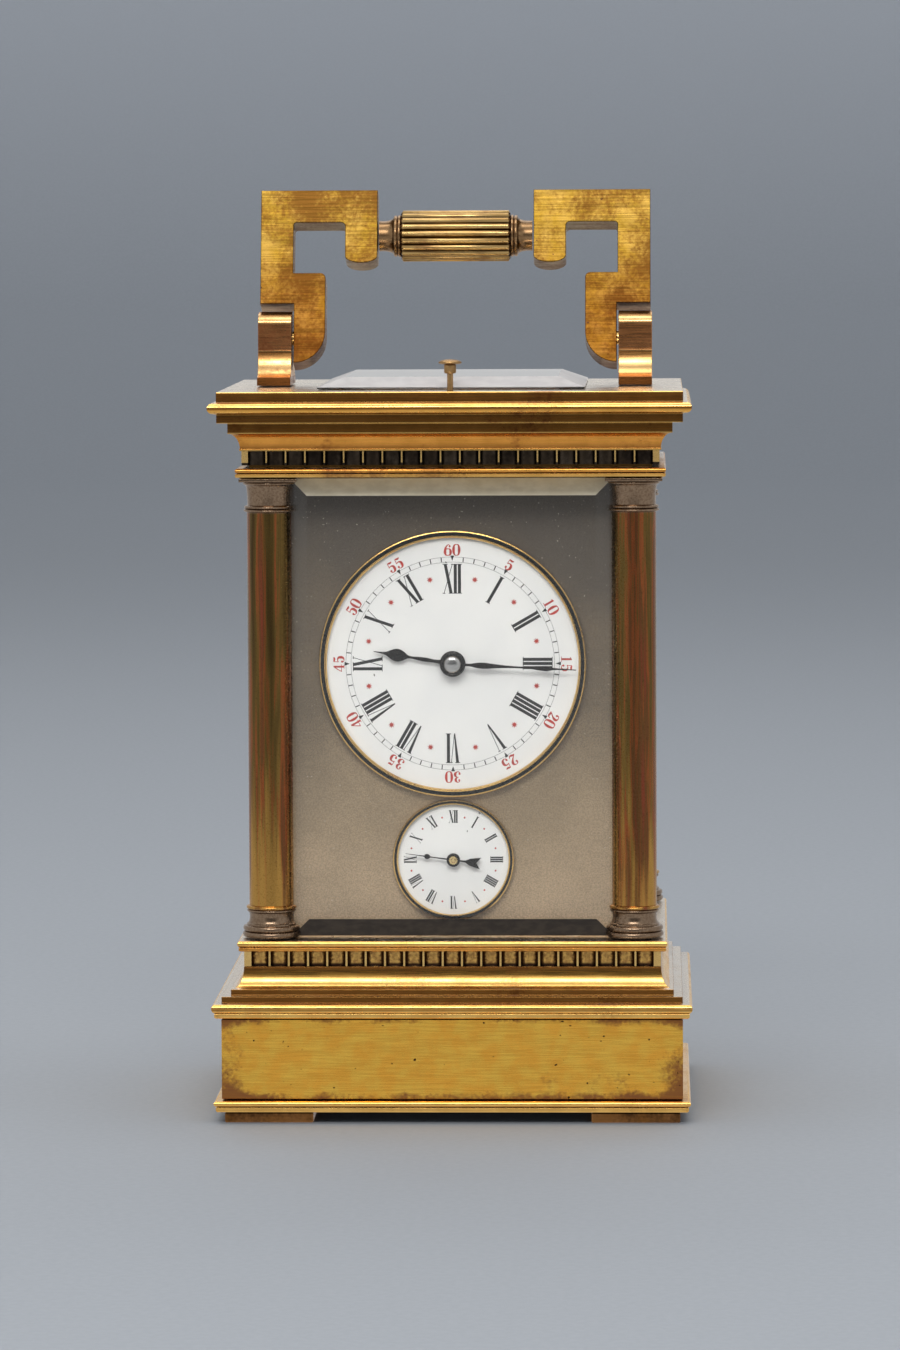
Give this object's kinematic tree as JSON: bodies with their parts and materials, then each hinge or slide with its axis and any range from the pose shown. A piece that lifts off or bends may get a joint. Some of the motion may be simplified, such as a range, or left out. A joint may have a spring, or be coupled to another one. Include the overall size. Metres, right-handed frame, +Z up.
{
  "type": "carriage clock",
  "caption": "Free-standing brass carriage clock with corner columns, bevelled glass sides, an alarm dial, a repeat button and a swinging Greek-key handle.",
  "frame": {"origin": "middle of the base at the height of the feet's undersides", "axes": "+X to the clock's right seen from the front, -Y to the front where the dial is, +Z up"},
  "size_m": [0.1028, 0.0904, 0.1992],
  "materials": {
    "gilt_brass": "brushed, warm gold with brown patina in the corners",
    "patinated_brass": "satin, streaked brown and red patina",
    "dark_brass": "satin, dark brown patina with worn bright edges",
    "plate_brass": "fine grained, lacquered",
    "grained_mask": "matte, frosted grain",
    "white_enamel": "glossy fired enamel",
    "steel": "polished",
    "blackened_steel": "blackened, semi-gloss",
    "blued_steel": "heat blued",
    "clear_glass": "polished, bevelled"
  },
  "bodies": {
    "case": {"plinth_body": "gilt_brass", "handle_screw_left": "gilt_brass", "handle_screw_right": "gilt_brass", "main_bezel": "gilt_brass", "alarm_bezel": "gilt_brass", "plinth_skirt": "patinated_brass", "base_moulding": "patinated_brass", "column_front_left": "patinated_brass", "column_front_right": "patinated_brass", "column_back_left": "patinated_brass", "column_back_right": "patinated_brass", "foot_front_left": "dark_brass", "foot_front_right": "dark_brass", "foot_back_left": "dark_brass", "foot_back_right": "dark_brass", "entablature": "dark_brass", "handle_post_left": "dark_brass", "handle_post_right": "dark_brass", "front_plate": "plate_brass", "back_plate": "plate_brass", "platform": "plate_brass", "balance_cock": "plate_brass", "dial_mask": "grained_mask", "main_dial": "white_enamel", "alarm_dial": "white_enamel", "gong": "blued_steel", "front_glass": "clear_glass", "left_glass": "clear_glass", "right_glass": "clear_glass", "top_glass": "clear_glass"},
    "handle": {"handle_arm_left": "gilt_brass", "handle_arm_right": "gilt_brass", "handle_grip": "gilt_brass"},
    "repeat_button": {"repeat_button": "gilt_brass"},
    "repeat_lever": {"repeat_lever": "steel"},
    "minute": {"cannon_pinion": "steel", "minute_hand": "blackened_steel", "hand_collet": "steel"},
    "minute_wheel": {"minute_wheel": "plate_brass"},
    "hour": {"hour_wheel": "plate_brass", "hour_hand": "blackened_steel"},
    "alarm": {"alarm_hand": "blackened_steel", "alarm_arbor": "plate_brass"},
    "going_barrel": {"going_barrel": "plate_brass"},
    "centre_wheel": {"centre_wheel": "plate_brass"},
    "third_wheel": {"third_wheel": "plate_brass"},
    "contrate_wheel": {"contrate_wheel": "plate_brass"},
    "escape_wheel": {"escape_wheel": "steel"},
    "pallet_lever": {"pallet_lever": "steel"},
    "balance": {"balance_wheel": "plate_brass"},
    "going_winding": {"going_winding_arbor": "steel"},
    "strike_winding": {"strike_winding_arbor": "steel"},
    "strike_barrel": {"strike_barrel": "plate_brass"},
    "strike_wheel": {"strike_wheel": "plate_brass"},
    "fly": {"fly": "steel"},
    "hammer": {"hammer": "steel"},
    "back_door": {"back_door_frame": "gilt_brass", "back_door_glass": "clear_glass", "back_door_knob": "gilt_brass"}
  },
  "joints": [
    {"name": "handle_swing", "type": "hinge", "parent": "case", "child": "handle", "pos_m": [0, 0, 0.1668], "axis": [1, 0, 0], "range_deg": [-74.5, 105.5]},
    {"name": "repeat_press", "type": "slide", "parent": "case", "child": "repeat_button", "axis": [0, 0, -1], "range_m": [0, 0.0025], "stiffness_N_per_m": 300},
    {"name": "repeat_lever_swing", "type": "hinge", "parent": "case", "child": "repeat_lever", "pos_m": [0, -0.03, 0.1482], "axis": [1, 0, 0], "range_deg": [0, 22.5]},
    {"name": "minute_spin", "type": "hinge", "parent": "case", "child": "minute", "pos_m": [0, -0.025, 0.0975], "axis": [0, 1, 0], "continuous": true},
    {"name": "minute_wheel_spin", "type": "hinge", "parent": "case", "child": "minute_wheel", "pos_m": [0.0048, -0.022, 0.08919], "axis": [0, 1, 0], "continuous": true},
    {"name": "hour_spin", "type": "hinge", "parent": "case", "child": "hour", "pos_m": [0, -0.025, 0.0975], "axis": [0, 1, 0], "continuous": true},
    {"name": "alarm_spin", "type": "hinge", "parent": "case", "child": "alarm", "pos_m": [0, -0.025, 0.0551], "axis": [0, 1, 0], "continuous": true},
    {"name": "contrate_spin", "type": "hinge", "parent": "case", "child": "contrate_wheel", "pos_m": [0.0055, 0, 0.108], "axis": [0, 1, 0], "continuous": true},
    {"name": "third_spin", "type": "hinge", "parent": "case", "child": "third_wheel", "pos_m": [-0.00447, 0, 0.10653], "axis": [0, 1, 0], "continuous": true},
    {"name": "centre_spin", "type": "hinge", "parent": "case", "child": "centre_wheel", "pos_m": [0, 0, 0.0975], "axis": [0, 1, 0], "continuous": true},
    {"name": "going_barrel_spin", "type": "hinge", "parent": "case", "child": "going_barrel", "pos_m": [-0.0152, 0, 0.09034], "axis": [0, 1, 0], "continuous": true},
    {"name": "escape_spin", "type": "hinge", "parent": "case", "child": "escape_wheel", "pos_m": [0.0055, 0.0009, 0.118], "axis": [0, 0, 1], "continuous": true},
    {"name": "pallet_rock", "type": "hinge", "parent": "case", "child": "pallet_lever", "pos_m": [-0.0001, 0.0009, 0.122], "axis": [0, 0, 1], "range_deg": [-6, 6]},
    {"name": "balance_swing", "type": "hinge", "parent": "case", "child": "balance", "pos_m": [-0.0059, 0.0009, 0.124], "axis": [0, 0, 1], "range_deg": [-270, 270], "stiffness_Nm_per_rad": 0.000003},
    {"name": "going_winding_spin", "type": "hinge", "parent": "case", "child": "going_winding", "pos_m": [-0.0152, 0, 0.09034], "axis": [0, 1, 0], "continuous": true},
    {"name": "strike_winding_spin", "type": "hinge", "parent": "case", "child": "strike_winding", "pos_m": [0.0152, 0, 0.09034], "axis": [0, 1, 0], "continuous": true},
    {"name": "strike_wheel_spin", "type": "hinge", "parent": "case", "child": "strike_wheel", "pos_m": [0.00877, 0, 0.07482], "axis": [0, 1, 0], "continuous": true},
    {"name": "strike_barrel_spin", "type": "hinge", "parent": "case", "child": "strike_barrel", "pos_m": [0.0152, 0, 0.09034], "axis": [0, 1, 0], "continuous": true},
    {"name": "fly_spin", "type": "hinge", "parent": "case", "child": "fly", "pos_m": [0.01538, 0, 0.06722], "axis": [0, 1, 0], "continuous": true},
    {"name": "hammer_swing", "type": "hinge", "parent": "case", "child": "hammer", "pos_m": [0.018, 0.02, 0.0455], "axis": [0, 1, 0], "range_deg": [-8, 2.5], "stiffness_Nm_per_rad": 0.01},
    {"name": "back_door_swing", "type": "hinge", "parent": "case", "child": "back_door", "pos_m": [-0.0304, 0.0325, 0.088], "axis": [0, 0, 1], "range_deg": [0, 95]}
  ],
  "couplings": [
    {"joint": "repeat_lever_swing", "follows": "repeat_press", "rad_per_m": 153.85},
    {"joint": "minute_wheel_spin", "follows": "minute_spin", "ratio": -0.33333},
    {"joint": "hour_spin", "follows": "minute_spin", "ratio": 0.083333},
    {"joint": "third_spin", "follows": "contrate_spin", "ratio": -0.16667},
    {"joint": "centre_spin", "follows": "contrate_spin", "ratio": 0.027778},
    {"joint": "going_barrel_spin", "follows": "contrate_spin", "ratio": -0.00463},
    {"joint": "escape_spin", "follows": "contrate_spin", "ratio": -6},
    {"joint": "strike_barrel_spin", "follows": "strike_wheel_spin", "ratio": -0.16667},
    {"joint": "fly_spin", "follows": "strike_wheel_spin", "ratio": -6}
  ]
}
